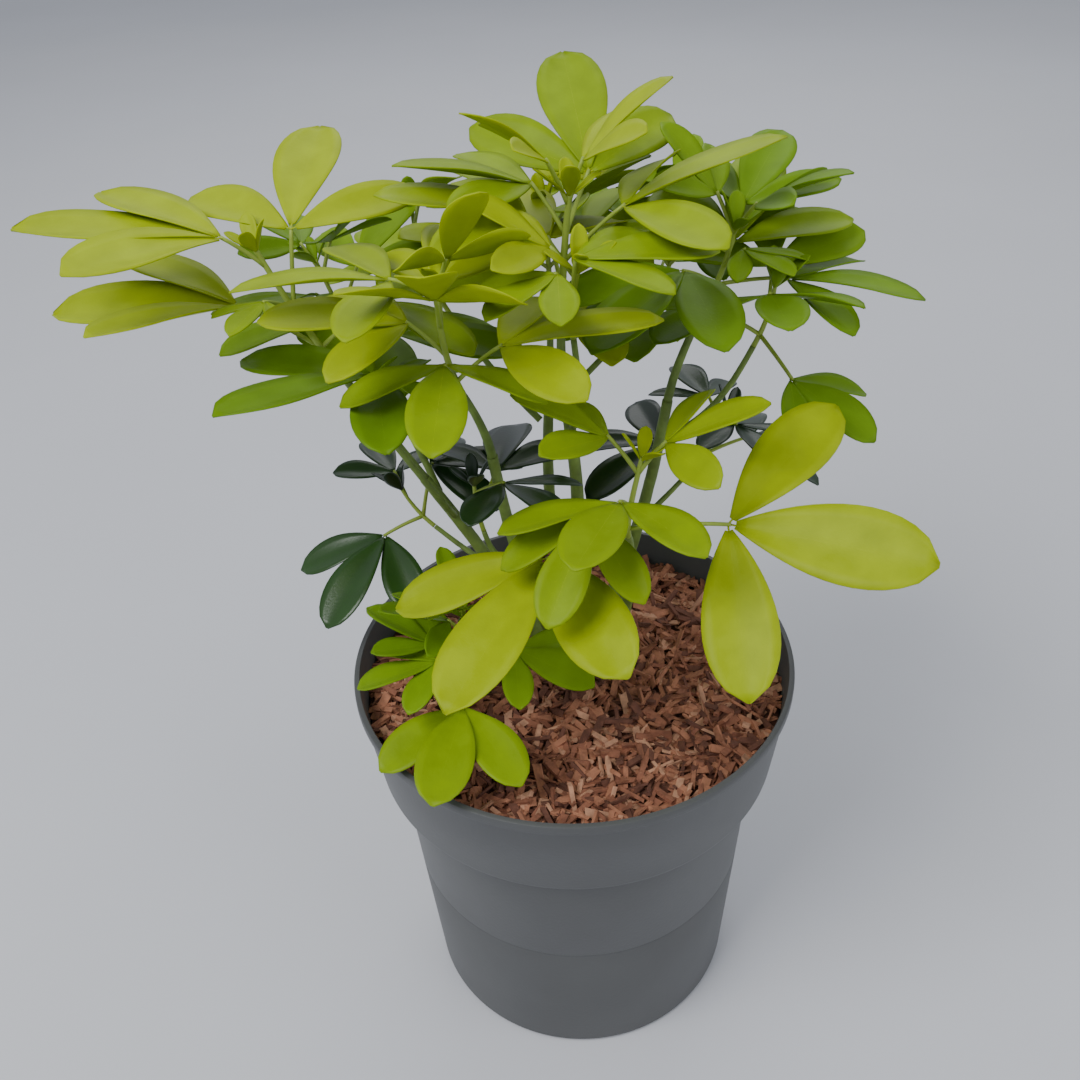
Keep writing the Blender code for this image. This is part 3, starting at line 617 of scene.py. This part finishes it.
def leaf_solid(node, leaf, dice, grow=0.0):
    """One leaf as a closed solid: points, petiole faces and blade faces.

    The petiole is three-sided and starts inside the stem at the node.  At the hub its
    two upper edges and its lower edge open into three leaflets, each with a flat top
    and a keel under its midrib.
    """
    stalk, hub, aim, up, left = leaf_frame(node, leaf)
    girth = PETIOLE_RADIUS + grow
    beside = (left - stalk * left.dot(stalk)).normalized()
    under = stalk.cross(beside)
    if under.dot(aim - up) < 0:
        under = -under
    points = [node + beside * girth - under * girth / 2,
              node - beside * girth - under * girth / 2,
              node + under * girth]
    hub_girth = HUB_RADIUS + grow
    points += [hub + left * hub_girth - aim * hub_girth / 2,
               hub - left * hub_girth - aim * hub_girth / 2,
               hub + left * hub_girth * HUB_FRONT + aim * hub_girth,
               hub - left * hub_girth * HUB_FRONT + aim * hub_girth,
               hub - up * (HUB_DEPTH + grow)]
    petiole_faces = [(1, 4, 3, 0), (0, 3, 7, 2), (2, 7, 4, 1), (0, 2, 1), (4, 6, 5, 3)]
    blade_faces = []
    for turn, base_left, base_right in ((1, 3, 5), (0, 5, 6), (-1, 6, 4)):
        way, blade_up, size, half, droop = leaflet_pose(turn, leaf, aim, up, left, dice)
        first = len(points)
        points += leaflet_points(hub, way, blade_up, size, half, droop, grow)
        left_1, right_1, keel_1, left_2, right_2, keel_2, tip = range(first, first + 7)
        blade_faces += [
            (base_right, right_1, left_1, base_left),
            (base_left, left_1, keel_1, 7),
            (right_1, base_right, 7, keel_1),
            (right_1, right_2, left_2, left_1),
            (left_1, left_2, keel_2, keel_1),
            (right_2, right_1, keel_1, keel_2),
            (right_2, tip, left_2),
            (left_2, tip, keel_2),
            (tip, right_2, keel_2),
        ]
    return points, petiole_faces, blade_faces


def planned_leaves(name, mass, line):
    """Every leaf of a mass by the rule: (node, pair, side, leaf)."""
    planned = []
    dice = random.Random(name)
    for pair in range(mass.pairs):
        share = (pair + FIRST_NODE) / mass.pairs
        node, _ = point_on(line, min(share, LAST_NODE))
        rise = mass.rise[0] + (mass.rise[1] - mass.rise[0]) * pair / max(1, mass.pairs - 1)
        size = mass.leaf * (1.0 - LAST_SMALLER * (pair / max(1, mass.pairs - 1)) ** 2)
        for side in (0, 1):
            bearing = mass.turn + 90 * pair + 180 * side + dice.uniform(-TURN_WANDERS, TURN_WANDERS)
            tilt = rise + dice.uniform(-RISE_WANDERS, RISE_WANDERS)
            leaf = Leaf(bearing, tilt, size * dice.uniform(*SIZE_RANGE), dice.uniform(*SPREAD_RANGE),
                        size * dice.uniform(*PETIOLE_RANGE), bearing, min(STEEPEST, tilt + LIFT),
                        dice.uniform(-LEAF_TILT, LEAF_TILT), dice.uniform(*CUP_RANGE))
            leaf = OWN_WAY.get(name, {}).get((pair, side), leaf)
            planned.append((node, pair, side, leaf))
    return planned


def search_tree(points, faces):
    """Search tree of some faces, and their box."""
    used = [points[corner] for face in faces for corner in face]
    low = [min(point[axis] for point in used) for axis in range(3)]
    high = [max(point[axis] for point in used) for axis in range(3)]
    return BVHTree.FromPolygons(points, faces), low, high


def touches(tree, others):
    """Whether a piece meets any of the others."""
    own, low, high = tree
    for other, other_low, other_high in others:
        apart = any(low[axis] > other_high[axis] or high[axis] < other_low[axis] for axis in range(3))
        if not apart and own.overlap(other):
            return True
    return False


def in_crown(points):
    """Whether a leaf keeps to the crown's space and above the bark."""
    for point in points[3:]:
        offset = point - CROWN_CENTRE
        reach = Vector([offset[axis] / CROWN_REACH[axis] for axis in range(3)])
        if reach.length > 1.0 or point.z < BARK_TOP + BARK_CLEAR:
            return False
    return True


def grow_leaves(lines, limbs):
    """Leaves of every mass: those that stand out first, then the rest by the rule.

    A leaf that would leave the crown, or touch a limb or a leaf, is turned a little,
    and skipped if no turn clears it.  Each leaf is its node, its sizes as turned, and
    the key of its seed.
    """
    wood = {name: search_tree(*tube(path, [radius + CLEARANCE for radius in radii], SHOOT_SIDES))
            for name, (path, radii) in {**limbs, **lines}.items()}
    rim = search_tree(*lathe([(RIM_RADIUS, BARK_TOP), (RIM_RADIUS, POT_HEIGHT),
                              (inner_radius(POT_HEIGHT), POT_HEIGHT),
                              (inner_radius(POT_HEIGHT), BARK_TOP)], RIM_CHECK_SIDES))
    planned = []
    for name, mass in MASSES.items():
        for node, pair, side, leaf in planned_leaves(name, mass, lines[name][0]):
            by_rule = (pair, side) not in OWN_WAY.get(name, {})
            planned.append((by_rule, name, node, "%s %d %d" % (name, pair, side), leaf))
    planned.sort(key=lambda item: item[0])
    grown = {name: [] for name in MASSES}
    whole = {name: [] for name in MASSES}
    blades = {name: [] for name in MASSES}
    for _, name, node, key, leaf in planned:
        foreign = [tree for other, tree in wood.items() if other != name] + [rim]
        foreign += [tree for other in MASSES if other != name for tree in whole[other]]
        for turn, raised in TRIES:
            tried = leaf._replace(bearing=leaf.bearing + turn, rise=leaf.rise + raised,
                                  petiole_bearing=leaf.petiole_bearing + turn / 2)
            solids = [leaf_solid(node, tried, random.Random(key), grow) for grow in (CLEARANCE, 0.0)]
            if not in_crown(solids[0][0]):
                continue
            if any(touches(search_tree(points, petiole_faces), foreign + blades[name])
                   or touches(search_tree(points, blade_faces), foreign + whole[name] + [wood[name]])
                   for points, petiole_faces, blade_faces in solids):
                continue
            points, petiole_faces, blade_faces = solids[-1]
            whole[name].append(search_tree(points, petiole_faces + blade_faces))
            blades[name].append(search_tree(points, blade_faces))
            grown[name].append((node, tried, key))
            break
    return grown


def plan():
    """Lines of all limbs and shoots, and the leaves of every mass."""
    limbs = {name: stem_line(stem) for name, stem in STEMS.items()}
    boughs = {name: bough_line(bough, limbs) for name, bough in BOUGHS.items()}
    limbs.update(boughs)
    limbs["low_front_shoot"] = stem_line(LOW_SHOOT)
    lines = {name: shoot_line(mass, limbs) for name, mass in MASSES.items()}
    return limbs, lines, grow_leaves(lines, limbs)


class Pieces:
    """Points and faces of one joined piece, each face with its material's number."""

    def __init__(self):
        self.points = []
        self.faces = []
        self.shades = []

    def add(self, points, faces, shade=0):
        """Joins some points and faces on, all faces with one material."""
        first = len(self.points)
        self.points += points
        self.faces += [tuple(first + corner for corner in face) for face in faces]
        self.shades += [shade] * len(faces)

    def build(self, name, finishes, slot, *nodes, smooth=True):
        """The piece as an object that rides on the plant's body and replaces the nodes."""
        mesh = bpy.data.meshes.new(name)
        mesh.from_pydata([tuple(point) for point in self.points], [], self.faces)
        for finish in finishes:
            mesh.materials.append(finish)
        mesh.polygons.foreach_set("material_index", self.shades)
        mesh.polygons.foreach_set("use_smooth", [smooth] * len(self.faces))
        mesh.update()
        thing = bpy.data.objects.new(name, mesh)
        bpy.context.scene.collection.objects.link(thing)
        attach(thing, "root")
        if nodes:
            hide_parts(*nodes)
        return thing


def material(name, colour, roughness, variation=0.25, scale=60.0, bump=0.15, bump_scale=300.0,
             gloss=0.4):
    """Material whose colour wanders a little and whose surface is finely uneven."""
    made = bpy.data.materials.new(name)
    made.use_nodes = True
    nodes, links = made.node_tree.nodes, made.node_tree.links
    shader = nodes["Principled BSDF"]
    shader.inputs["Roughness"].default_value = roughness
    shader.inputs["Specular IOR Level"].default_value = gloss
    place = nodes.new("ShaderNodeTexCoord")

    cloud = nodes.new("ShaderNodeTexNoise")
    cloud.inputs["Scale"].default_value = scale
    cloud.inputs["Detail"].default_value = CLOUD_DETAIL
    ramp = nodes.new("ShaderNodeValToRGB")
    factors = (1 - variation, 1 + variation)
    for stop, place_on_ramp, factor in zip(ramp.color_ramp.elements, COLOUR_STOPS, factors):
        stop.position = place_on_ramp
        stop.color = (*[min(1.0, part * factor) for part in colour], 1.0)
    links.new(place.outputs["Object"], cloud.inputs["Vector"])
    links.new(cloud.outputs["Fac"], ramp.inputs["Fac"])
    links.new(ramp.outputs["Color"], shader.inputs["Base Color"])

    grain = nodes.new("ShaderNodeTexNoise")
    grain.inputs["Scale"].default_value = bump_scale
    relief = nodes.new("ShaderNodeBump")
    relief.inputs["Strength"].default_value = bump
    relief.inputs["Distance"].default_value = GRAIN_DEPTH
    links.new(place.outputs["Object"], grain.inputs["Vector"])
    links.new(grain.outputs["Fac"], relief.inputs["Height"])
    links.new(relief.outputs["Normal"], shader.inputs["Normal"])
    return made


def outline(share):
    """Half width of a leaflet at a share of its length: 1 at its widest."""
    widest = ROUND_BASE / (ROUND_BASE + ROUND_TIP)
    full = widest ** ROUND_BASE * (1 - widest) ** ROUND_TIP
    return share ** ROUND_BASE * (1 - share) ** ROUND_TIP / full


def blade(hub, way, up, length, half, droop, wave):
    """Points and faces of a leaflet curled up from its midrib, and its surface as a function."""
    left = up.cross(way).normalized()

    def surface(share, across):
        width = half * BLADE_WIDER * outline(share)
        centre = hub + way * (share * length) - up * (droop * length * share * share)
        ripple = RIPPLE * half * math.sin(RIPPLE_TURNS * share + wave) * across * across
        rise = width * abs(across) ** CURL_POWER * FOLD * CURL + ripple
        return centre + left * (width * across) + up * (rise - KEEL / 2)

    rows = [FIRST_ROW + (1 - FIRST_ROW) * row / ROWS for row in range(ROWS)] + [LAST_ROW]
    points = [surface(row, 2 * column / COLUMNS - 1) for row in rows for column in range(COLUMNS + 1)]
    faces = []
    for row in range(ROWS):
        for column in range(COLUMNS):
            corner = row * (COLUMNS + 1) + column
            faces.append((corner, corner + 1, corner + COLUMNS + 2, corner + COLUMNS + 1))
    return points, faces, surface


def vein(surface, start, end, width, up, steps):
    """Thin raised sliver on a blade from one place to another, each (share, across)."""
    line = []
    for step in range(steps + 1):
        part = step / steps
        line.append(surface(start[0] + (end[0] - start[0]) * part, start[1] + (end[1] - start[1]) * part))
    lift = up * VEIN_LIFT
    points = []
    for step, centre in enumerate(line):
        along = (line[min(step + 1, steps)] - line[max(step - 1, 0)]).normalized()
        side = along.cross(up).normalized() * width / 2 * (1 - VEIN_TAPER * step / steps)
        points += [centre - side + lift, centre + up * 2 * VEIN_LIFT, centre + side + lift, centre - lift]
    faces = []
    for step in range(steps):
        for side in range(4):
            low, turned = 4 * step, (side + 1) % 4
            faces.append((low + side, low + turned, low + 4 + turned, low + 4 + side))
    faces += [(3, 2, 1, 0), tuple(4 * steps + side for side in range(4))]
    return points, faces


def detail_leaf(node, leaf, key, shade, leaves, veins, stalks):
    """One leaf in full: petiole, three blades with midribs and side veins."""
    dice = random.Random(key)
    _, hub, aim, up, left = leaf_frame(node, leaf)
    bend = node.lerp(hub, PETIOLE_BEND) + Vector((0, 0, leaf.petiole * PETIOLE_BOW))
    line = bent_line(node, bend, hub + aim * HUB_RADIUS, PETIOLE_STEPS)
    radii = [PETIOLE_RADIUS * (PETIOLE_FOOT - PETIOLE_TAPER * step / PETIOLE_STEPS)
             for step in range(PETIOLE_STEPS + 1)]
    stalks.add(*tube(line, radii, PETIOLE_SIDES))
    for turn in (1, 0, -1):
        way, blade_up, size, half, droop = leaflet_pose(turn, leaf, aim, up, left, dice)
        wave = WAVE_BY_TURN * turn + size * WAVE_BY_SIZE
        points, faces, surface = blade(hub, way, blade_up, size, half, droop, wave)
        leaves.add(points, faces, shade)
        veins.add(*vein(surface, (0.0, 0.0), (MIDRIB_END, 0.0), VEIN_WIDTH * MIDRIB_WIDER,
                        blade_up, MIDRIB_STEPS))
        for pair in range(VEIN_PAIRS):
            start = SIDE_VEIN_FIRST + SIDE_VEIN_SPAN * pair / VEIN_PAIRS
            end = min(SIDE_VEIN_END, start + SIDE_VEIN_RUN)
            for side in (-1, 1):
                veins.add(*vein(surface, (start, 0.0), (end, SIDE_VEIN_ACROSS * side),
                                VEIN_WIDTH * SIDE_VEIN_WIDER, blade_up, SIDE_VEIN_STEPS))


def bud(name, path, leaves):
    """Young leaves, still half folded, at the end of a shoot."""
    dice = random.Random("bud " + name)
    along = (path[-1] - path[-2]).normalized()
    first, second = ring_frame(along)
    for index in range(BUD_LEAVES):
        turn = math.radians(360 * index / BUD_LEAVES + dice.uniform(-BUD_TURN_WANDERS, BUD_TURN_WANDERS))
        out = math.cos(turn) * first + math.sin(turn) * second
        open_up = dice.uniform(*BUD_OPEN)
        way = (along * (1 - open_up * BUD_SPREAD) + out * open_up).normalized()
        up = (along - way * along.dot(way)).normalized()
        length = BUD_LENGTH * dice.uniform(*BUD_SIZES)
        points, faces, _ = blade(path[-1] - along * BUD_ROOT, way, up, length, length * BUD_WIDTH,
                                 BUD_DROOP, index)
        leaves.add(points, faces)


def rounded_line(path, radii):
    """A finer line through the points of a path, and its radii."""
    last = len(path) - 1
    fine_path, fine_radii = [], []
    for index in range(last * LIMB_RINGS + 1):
        low = min(index // LIMB_RINGS, last - 1)
        part = index / LIMB_RINGS - low
        start, end = path[low], path[low + 1]
        before, after = path[max(low - 1, 0)], path[min(low + 2, last)]
        swing = (start - before) - (after - end)
        fine_path.append(start.lerp(end, part) + part * (1 - part) * LIMB_CURVE * swing)
        fine_radii.append(radii[low] + (radii[low + 1] - radii[low]) * part)
    return fine_path, fine_radii


def rough_limb(path, radii, sides, standing):
    """A limb as a fine tube whose bark has relief, deepest near the ground."""
    path, radii = rounded_line(path, radii)
    points, faces = tube(path, radii, sides, standing)
    for index, point in enumerate(points):
        centre = path[index // sides]
        woody = max(0.0, min(1.0, (GREEN_HEIGHT - centre.z) / GREEN_SPAN))
        grain = Vector((point.x * RIDGE_ACROSS, point.y * RIDGE_ACROSS, point.z * RIDGE_ALONG))
        scale = 1 + (RIDGE_GREEN + RIDGE_WOODY * woody) * noise.noise(grain) - RIDGE_INSET
        points[index] = centre + (point - centre) * scale
    return points, faces


def make_foliage(tone, lines, grown):
    """Leaves, veins and petioles of every mass of one tone, each kind one piece."""
    leaves, veins, stalks = Pieces(), Pieces(), Pieces()
    names = [name for name, mass in MASSES.items() if mass.tone == tone]
    for name in names:
        path, radii = lines[name]
        stalks.add(*rough_limb(path, radii, SHOOT_ROUND_SIDES, False))
        dice = random.Random("shade " + name)
        for node, leaf, key in grown[name]:
            detail_leaf(node, leaf, key, dice.randrange(len(LEAF_SHADES[tone])), leaves, veins, stalks)
        bud(name, path, leaves)
    slot = "leaf_" + tone
    shades = [material("leaf_%s_%d" % (tone, index), colour, roughness=LEAF_ROUGHNESS[tone],
                       variation=0.10, scale=90.0, bump=0.10, bump_scale=900.0, gloss=LEAF_GLOSS[tone])
              for index, colour in enumerate(LEAF_SHADES[tone])]
    skin = leaves.build("leaves_" + tone, shades, slot, *names).modifiers.new("thickness", "SOLIDIFY")
    skin.thickness = BLADE_THICKNESS
    skin.offset = 0.0
    pale = material("vein_" + tone, VEIN_COLOUR[tone], roughness=0.5, variation=0.05)
    veins.build("veins_" + tone, [pale], slot)
    green = material("petiole_" + tone, PETIOLE_GREEN, roughness=0.45, variation=0.12)
    stalks.build("petioles_" + tone, [green], slot)


def make_plant():
    """The limbs, and the foliage that grows on from them, by tone."""
    limbs, lines, grown = plan()
    for tone in LEAF_SHADES:
        make_foliage(tone, lines, grown)
    wood = Pieces()
    for name, (path, radii) in limbs.items():
        wood.add(*rough_limb(path, radii, LIMB_SIDES, name not in BOUGHS))
    bark = material("green_wood", WOOD_GREEN, roughness=0.6, variation=0.35, scale=120.0, bump=0.5,
                    bump_scale=500.0)
    wood.build("stems_and_boughs", [bark], "green_wood", *limbs)


def bark_chip(reach, dice):
    """One chip: a box with uneven ends, leaning a little, inside the pot's wall."""
    turn = dice.uniform(0, 2 * math.pi)
    out = reach * math.sqrt(dice.random())
    centre = Vector((out * math.cos(turn), out * math.sin(turn), BARK_TOP - dice.uniform(*CHIP_SUNK)))
    length = dice.uniform(*CHIP_LENGTH) * dice.uniform(*CHIP_SHORTER)
    width = dice.uniform(*CHIP_WIDTH)
    depth = dice.uniform(*CHIP_DEPTH)
    length = min(length, 2 * (reach + CHIP_MARGIN - out) + CHIP_PAST_EDGE)
    spin = (Matrix.Rotation(dice.uniform(0, 2 * math.pi), 3, "Z")
            @ Matrix.Rotation(dice.gauss(0, CHIP_PITCH), 3, "Y")
            @ Matrix.Rotation(dice.gauss(0, CHIP_ROLL), 3, "X"))
    corners = []
    for across, high in ((-1, -1), (1, -1), (1, 1), (-1, 1)):
        for end in (-1, 1):
            corner = Vector((end * length / 2 * dice.uniform(*CHIP_END),
                             across * width / 2 * dice.uniform(*CHIP_EDGE),
                             high * depth / 2))
            corners.append(centre + spin @ corner)
    return corners


def make_bark():
    """Loose chips of bark on a dark bed, level on the mix."""
    reach = inner_radius(BARK_TOP) - CHIP_MARGIN
    edge, top = reach + CHIP_PAST_EDGE, BARK_TOP - BED_SUNK
    bed = Pieces()
    bed.add(*lathe([(0.0, MIX_TOP + GAP), (edge, MIX_TOP + GAP), (edge, top), (0.0, top)], BED_SIDES))
    soil = material("bark_bed", BED_BROWN, roughness=0.95, variation=0.4, scale=200.0, bump=0.8,
                    bump_scale=600.0)
    bed.build("bark_bed", [soil], "bark_chips", "bark_mulch", smooth=False)

    chips = Pieces()
    dice = random.Random(CHIP_SEED)
    for _ in range(CHIPS):
        corners = bark_chip(reach, dice)
        chips.add(corners, CHIP_FACES, dice.choices(range(len(CHIP_SHADES)), CHIP_SHARES)[0])
    shades = [material("bark_%d" % index, colour, roughness=0.85, variation=0.30, scale=250.0,
                       bump=0.6, bump_scale=900.0)
              for index, colour in enumerate(CHIP_SHADES)]
    chips.build("bark_pieces", shades, "bark_chips", smooth=False)


def make_mix():
    """The potting mix keeps its solid, with a finish of its own."""
    mix = bpy.data.objects["potting_mix"]
    earth = material("potting_mix", MIX_BROWN, roughness=0.95, variation=0.4, scale=150.0, bump=0.8,
                     bump_scale=500.0)
    mix.data.materials.clear()
    mix.data.materials.append(earth)


def make_pot():
    """The pot as a smooth lathe with its lip, step, faint moulding line and foot."""
    step = POT_HEIGHT - COLLAR_HEIGHT
    lip = POT_HEIGHT - LIP_HEIGHT
    line = step * MOULDING_SHARE
    under = step - STEP_RISE
    seat = step + 2 * STEP_RISE
    soft = LIP_PROUD * LIP_ROUNDING
    rim_inside = inner_radius(POT_HEIGHT)
    profile = [
        (0.0, HOLLOW_HEIGHT),
        (BASE_RADIUS - HOLLOW_INSET, HOLLOW_HEIGHT),
        (BASE_RADIUS - HOLLOW_EDGE_INSET, 0.0),
        (BASE_RADIUS - FOOT_CHAMFER, 0.0),
        (body_radius(FOOT_CHAMFER), FOOT_CHAMFER),
        (body_radius(line - MOULDING_REACH), line - MOULDING_REACH),
        (body_radius(line) - MOULDING_DEPTH, line),
        (body_radius(line + MOULDING_REACH), line + MOULDING_REACH),
        (body_radius(under), under),
        (body_radius(under) + STEP_OVERHANG, step - STEP_RISE * (1 - STEP_SOFT)),
        (COLLAR_FOOT_RADIUS - LIP_PROUD, step - STEP_RISE / 2),
        (COLLAR_FOOT_RADIUS - soft, step - STEP_RISE * STEP_SOFT),
        (COLLAR_FOOT_RADIUS, step + STEP_RISE / 2),
        (collar_radius(lip - LIP_UNDERCUT), lip - LIP_UNDERCUT),
        (RIM_RADIUS - soft, lip + soft),
        (RIM_RADIUS, lip + LIP_PROUD),
        (RIM_RADIUS, POT_HEIGHT - LIP_PROUD),
        (RIM_RADIUS - soft, POT_HEIGHT - soft),
        (RIM_RADIUS - LIP_PROUD, POT_HEIGHT),
        (rim_inside + RIM_BEVEL_ACROSS, POT_HEIGHT),
        (rim_inside, POT_HEIGHT - RIM_BEVEL_DOWN),
        (inner_radius(seat), seat),
        (inner_radius(step), step),
        (inner_radius(POT_FLOOR), POT_FLOOR),
        (0.0, POT_FLOOR),
    ]
    pot = Pieces()
    pot.add(*lathe(profile, POT_SIDES))
    grey = material("pot_grey", POT_GREY, roughness=0.42, variation=0.06, scale=25.0, bump=0.12,
                    bump_scale=700.0)
    crease = pot.build("pot_shell", [grey], "pot_grey", "pot").modifiers.new("crease", "EDGE_SPLIT")
    crease.split_angle = math.radians(CREASE_ANGLE)


def make_floor():
    """Pale floor, which isn't part of the plant."""
    mesh = bpy.data.meshes.new("floor")
    corners = [(-1, -1), (1, -1), (1, 1), (-1, 1)]
    mesh.from_pydata([(x * FLOOR_REACH, y * FLOOR_REACH, 0) for x, y in corners], [], [(0, 1, 2, 3)])
    floor = bpy.data.objects.new("floor", mesh)
    bpy.context.scene.collection.objects.link(floor)
    pale = material("floor", FLOOR_GREY, roughness=0.8, variation=0.02, scale=3.0, bump=0.02)
    mesh.materials.append(pale)


def make_lights():
    """Soft studio light: a pale sky and three wide lamps."""
    world = bpy.data.worlds.new("studio")
    world.use_nodes = True
    sky = world.node_tree.nodes["Background"]
    sky.inputs["Color"].default_value = SKY_COLOUR
    sky.inputs["Strength"].default_value = SKY_STRENGTH
    bpy.context.scene.world = world
    for name, (place, size, power) in LIGHTS.items():
        light = bpy.data.lights.new(name, "AREA")
        light.size = size
        light.energy = power
        lamp = bpy.data.objects.new(name, light)
        lamp.location = place
        lamp.rotation_euler = (LIGHT_TARGET - Vector(place)).to_track_quat("-Z", "Y").to_euler()
        bpy.context.scene.collection.objects.link(lamp)


def make_camera():
    """Camera at the photo's place and angle."""
    camera = bpy.data.objects.new("camera", bpy.data.cameras.new("camera"))
    camera.data.sensor_width = SENSOR_MM
    camera.data.lens = LENS_MM
    camera.data.clip_start = CLIP_START
    camera.matrix_world = (Matrix.Translation(CAMERA_PLACE)
                           @ Matrix.Rotation(math.radians(90 - CAMERA_PITCH), 4, "X")
                           @ Matrix.Rotation(math.radians(CAMERA_ROLL), 4, "Z"))
    bpy.context.scene.collection.objects.link(camera)
    bpy.context.scene.camera = camera


make_floor()
make_lights()
make_camera()
make_pot()
make_bark()
make_plant()
make_mix()
